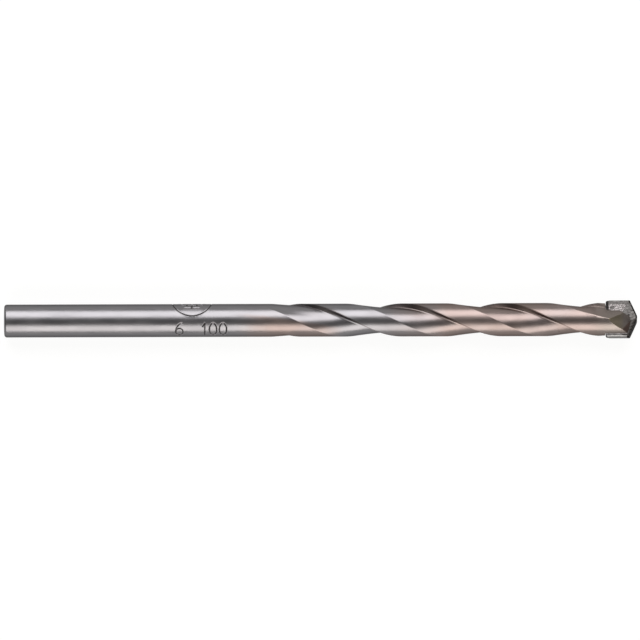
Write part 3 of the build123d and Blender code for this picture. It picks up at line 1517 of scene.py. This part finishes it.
@dataclass
class BrazeMetal:
    """Braze that films both faces of the plate and fills the slot behind its middle.

    Places along are measured from the tip, and those across from the plate's middle.
    """

    crisp_over: float = 40.0
    plate_half: float = 0.9
    film: float = 0.075
    film_most: float = 0.05
    sunk: float = 0.05
    rear_sunk: float = 0.35
    under: float = 0.02
    outer: float = 2.27
    inner: float = -2.5
    beyond: Span = (0.05, 0.1)
    rear: float = -4.95
    roof_gap: float = 0.1
    front_most: float = -0.9
    grid: int = 150
    steel_gap: float = 0.08
    bare_from: float = 0.9
    bare_bend: Span = (1.7, -1.83)
    bare_slopes: Span = (0.7, 0.2)
    rear_edge: float = -4.55
    rear_edge_from: float = 1.1
    rear_span: Span = (4.45, 4.6)
    hollow: Span = (-3.92, 1.7)
    hollow_radii: Span = (0.32, 0.17)
    hollow_slope: float = 0.2
    border_span: Span = (-0.04, 0.07)
    wander: float = 0.06
    lumps: float = 0.009
    fill_half: float = 2.3
    fill_steps: int = 60
    fill_thick: float = 0.95
    fill_ends: Span = (-5.01, -4.96)
    fill_front_most: float = -4.94
    fill_lumps: float = 0.01
    floor_half: float = 1.9
    gap_level: float = 0.1

    def ragged(self, value: Array, along: Array, seed: int) -> Array:
        """A boundary that wanders a little: value + a small mottle."""
        return value + self.wander * mottle(along, along * 0, 0.7, seed)

    def inside(self, back: Array, across: Array, body: DrillBody) -> Array:
        """How far each place of a film is inside its outline, about in millimetres.

        The outline is the least of the distances from the ground nose, or the bare plate's
        slanted border, from the outer border, from the rear edge and from a hollow.

        Args:
            back: Places along the bit.
            across: Places across the plate.
            body: The steel piece, for how far its nose reaches.

        Returns:
            The least distance at each place, below 0 outside.
        """
        bend_across, bend_back = self.bare_bend
        beyond = across - bend_across
        bare = bend_back + np.minimum(*(slope * beyond for slope in self.bare_slopes))
        place = across_tip(back, across, self.plate_half + self.film)
        ground = body.ground_limit(place[..., 1], place[..., 2] - TIP_RADIUS) - self.steel_gap
        limit = np.where(across > self.bare_from, self.ragged(bare, across, 3), ground)
        inside = np.minimum(limit - back, self.ragged(self.outer, back, 4) - across)
        rear = np.minimum(inside, back - self.rear_edge)
        inside = np.where(across > self.rear_edge_from, rear, inside)
        gaps = (back - self.hollow[0], across - self.hollow[1])
        hollow = np.hypot(*(gap / radius for gap, radius in zip(gaps, self.hollow_radii))) - 1
        wander = self.wander / 2 * mottle(back, across + 0 * back, 0.4, 2)
        return np.minimum(inside, self.hollow_slope * hollow + wander)

    def film_sheet(self, side: Side, body: DrillBody, plate: CarbidePlate) -> Array:
        """Film on one face: a closed sheet over a grid, which dips into the plate past its edge.

        Its height over the face is film m - sunk (1 - m) + lumps, where m is 1 inside its
        ragged outline and 0 outside.

        Args:
            side: Which face of the plate.
            body: The steel piece, for how far its nose reaches.
            plate: The plate, for where its roof is.

        Returns:
            Rings across the sheet, in place.
        """
        first, last = self.inner - self.beyond[0], self.outer + self.beyond[1]
        across = np.linspace(first, last, self.grid)[None, :]
        roof = plate.front(across, self.plate_half) - self.roof_gap
        stop = np.minimum(roof, self.front_most)
        back = self.rear + np.linspace(0, 1, self.grid)[:, None] * (stop - self.rear)
        share = eased(self.inside(back, across, body), *self.border_span)
        sunk = self.sunk + self.rear_sunk * eased(-back, *self.rear_span)
        height = self.film * share - sunk * (1 - share)
        across = across + 0 * back
        height = height + self.lumps * mottle(back, across, 0.6, 9) * share
        height = np.clip(height, -sunk, self.film + self.film_most)
        top = across_tip(back, across, self.plate_half + height)
        under = across_tip(back, across, self.plate_half - sunk - self.under)
        rings = np.concatenate([top, under[:, ::-1]], axis=1)
        centre = np.array([0, 0, TIP_RADIUS])
        return turned(rings - centre, side) + centre

    def slot_fill(self) -> Array:
        """Fill behind the plate: a box section with uneven faces, carried across the slot.

        It is as thick as the slot behind the plate's middle, and half of it at each end.

        Returns:
            Rings across the slot, in place.
        """
        across = np.linspace(-self.fill_half, self.fill_half, self.fill_steps)[:, None]
        first, last = self.floor_half - self.beyond[0], self.floor_half + self.beyond[1]
        full = 1 - eased(np.abs(across), first, last)
        thinned = full * self.fill_thick - (1 - full) * self.gap_level
        low = np.where(across > 0, self.fill_thick, thinned)
        high = np.where(across < 0, self.fill_thick, thinned)
        thick = np.concatenate([high, high, -low, -low], axis=1)
        across = across + 0 * thick
        floor, front = self.fill_ends
        back = np.array([floor, front, front, floor])
        back = back + self.fill_lumps * mottle(across, thick, 0.8, 6)
        return across_tip(np.clip(back, floor, self.fill_front_most), across, thick)

    def build(self, finish: BrazeFinish, body: DrillBody, plate: CarbidePlate) -> bpy.types.Object:
        """Makes the braze and gives it its finish.

        Args:
            finish: The braze's finish.
            body: The steel piece.
            plate: The plate.

        Returns:
            The piece.
        """
        tubes = [self.film_sheet(side, body, plate) for side in Side] + [self.slot_fill()]
        piece = tube_piece("silver_braze", tubes)
        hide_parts("braze_metal")
        return finish_piece(piece, finish.material(), self.crisp_over)


# The studio


@dataclass
class Softbox:
    """A long soft lamp beside the bit, square to the line from it to the bit."""

    name: str
    low_lean: float
    high_lean: float
    colour: Triple
    radiance: float
    length: float = 1.0
    away: float = 0.8

    def build(self) -> bpy.types.Object:
        """Makes the lamp, which spans two leans from straight up; its watts are L pi area.

        Returns:
            The lamp.
        """
        half = math.radians(self.high_lean - self.low_lean) / 2
        lean = math.radians(self.high_lean + self.low_lean) / 2
        breadth = 2 * self.away * math.tan(abs(half))
        data = bpy.data.lights.new(self.name, "AREA")
        data.shape, data.size, data.size_y = "RECTANGLE", self.length, breadth
        data.energy = self.radiance * math.pi * self.length * breadth
        data.color = self.colour
        lamp = bpy.data.objects.new(self.name, data)
        lamp.location = (0, self.away * math.sin(lean), self.away * math.cos(lean))
        lamp.rotation_euler = (-lean, 0, 0)
        lamp.visible_camera = False
        bpy.context.scene.collection.objects.link(lamp)
        return lamp


@dataclass
class Studio:
    """Pale floor and low backdrop, two softboxes, a dim even surround, the camera above."""

    surround: float = 0.2
    floor_half: float = 3.0
    backdrop_radius: float = 2.2
    backdrop_height: float = 0.12
    backdrop_sides: int = 64
    camera_height: float = 2400.0
    camera_x: float = -0.11
    camera_y: float = 0.03
    camera_roll: float = -0.16
    sensor: float = 36.0
    view_width: float = 101.14
    sees: Span = (0.01, 20.0)
    boxes: tuple[Softbox, ...] = (
        Softbox("softbox_far", 24, 72, (1.0, 0.985, 1.0), 4.9),
        Softbox("softbox_near", -34, -78, (1.0, 0.965, 0.935), 4.3),
    )

    def light(self) -> None:
        """Makes the lamps and the surround."""
        for box in self.boxes:
            box.build()
        world = bpy.data.worlds.new("surround")
        world.use_nodes = True
        shade = world.node_tree.nodes["Background"].inputs
        shade["Color"].default_value = (1.0, 1.0, 1.0, 1.0)
        shade["Strength"].default_value = self.surround
        bpy.context.scene.world = world

    def lay_floor(self, finish: FloorFinish) -> None:
        """Lays the floor under the bit, as one flat square.

        Args:
            finish: Its paint.
        """
        half = self.floor_half / MM
        corners = np.insert(SQUARE * half, 2, 0, axis=1)
        floor = mesh_piece("floor", corners, [[0, 1, 2, 3]])
        floor.data.materials.append(finish.material("pale_floor", 1))

    def stand_backdrop(self, finish: FloorFinish) -> None:
        """Stands a low ring far round the bit: two circles (r cos t, r sin t), one raised.

        It is clear from outside, so that it never hides the bit from a low camera.

        Args:
            finish: Its paint.
        """
        count = self.backdrop_sides
        turn = 2 * np.pi * np.arange(count) / count
        edge = self.backdrop_radius / MM * np.stack([np.cos(turn), np.sin(turn)], axis=1)
        levels = (0, self.backdrop_height / MM)
        corners = np.concatenate([np.insert(edge, 2, level, axis=1) for level in levels])
        ends = [(i, (i + 1) % count) for i in range(count)]
        backdrop = mesh_piece("backdrop", corners, [[i, i + count, j + count, j] for i, j in ends])
        backdrop.data.materials.append(finish.material("pale_backdrop", 0))

    def place_camera(self) -> None:
        """Hangs the camera straight above the bit; its lens is sensor x height / width seen."""
        data = bpy.data.cameras.new("camera")
        data.sensor_width = self.sensor
        data.lens = self.sensor * self.camera_height / self.view_width
        data.clip_start, data.clip_end = self.sees
        camera = bpy.data.objects.new("camera", data)
        height = self.camera_height + TIP_RADIUS
        camera.location = (self.camera_x * MM, self.camera_y * MM, height * MM)
        camera.rotation_euler = (0, 0, math.radians(self.camera_roll))
        bpy.context.scene.collection.objects.link(camera)
        bpy.context.scene.camera = camera


def main() -> None:
    """Dresses the bit and sets the studio round it."""
    logging.basicConfig(level=logging.INFO, format="%(name)s %(message)s")
    bpy.context.scene.view_settings.view_transform = "Standard"
    body, plate = DrillBody(), CarbidePlate()
    body.build(SteelFinish())
    plate.build(CarbideFinish())
    BrazeMetal().build(BrazeFinish(), body, plate)
    studio = Studio()
    studio.light()
    studio.lay_floor(FloorFinish())
    studio.stand_backdrop(FloorFinish())
    studio.place_camera()


if __name__ == "__main__":
    main()
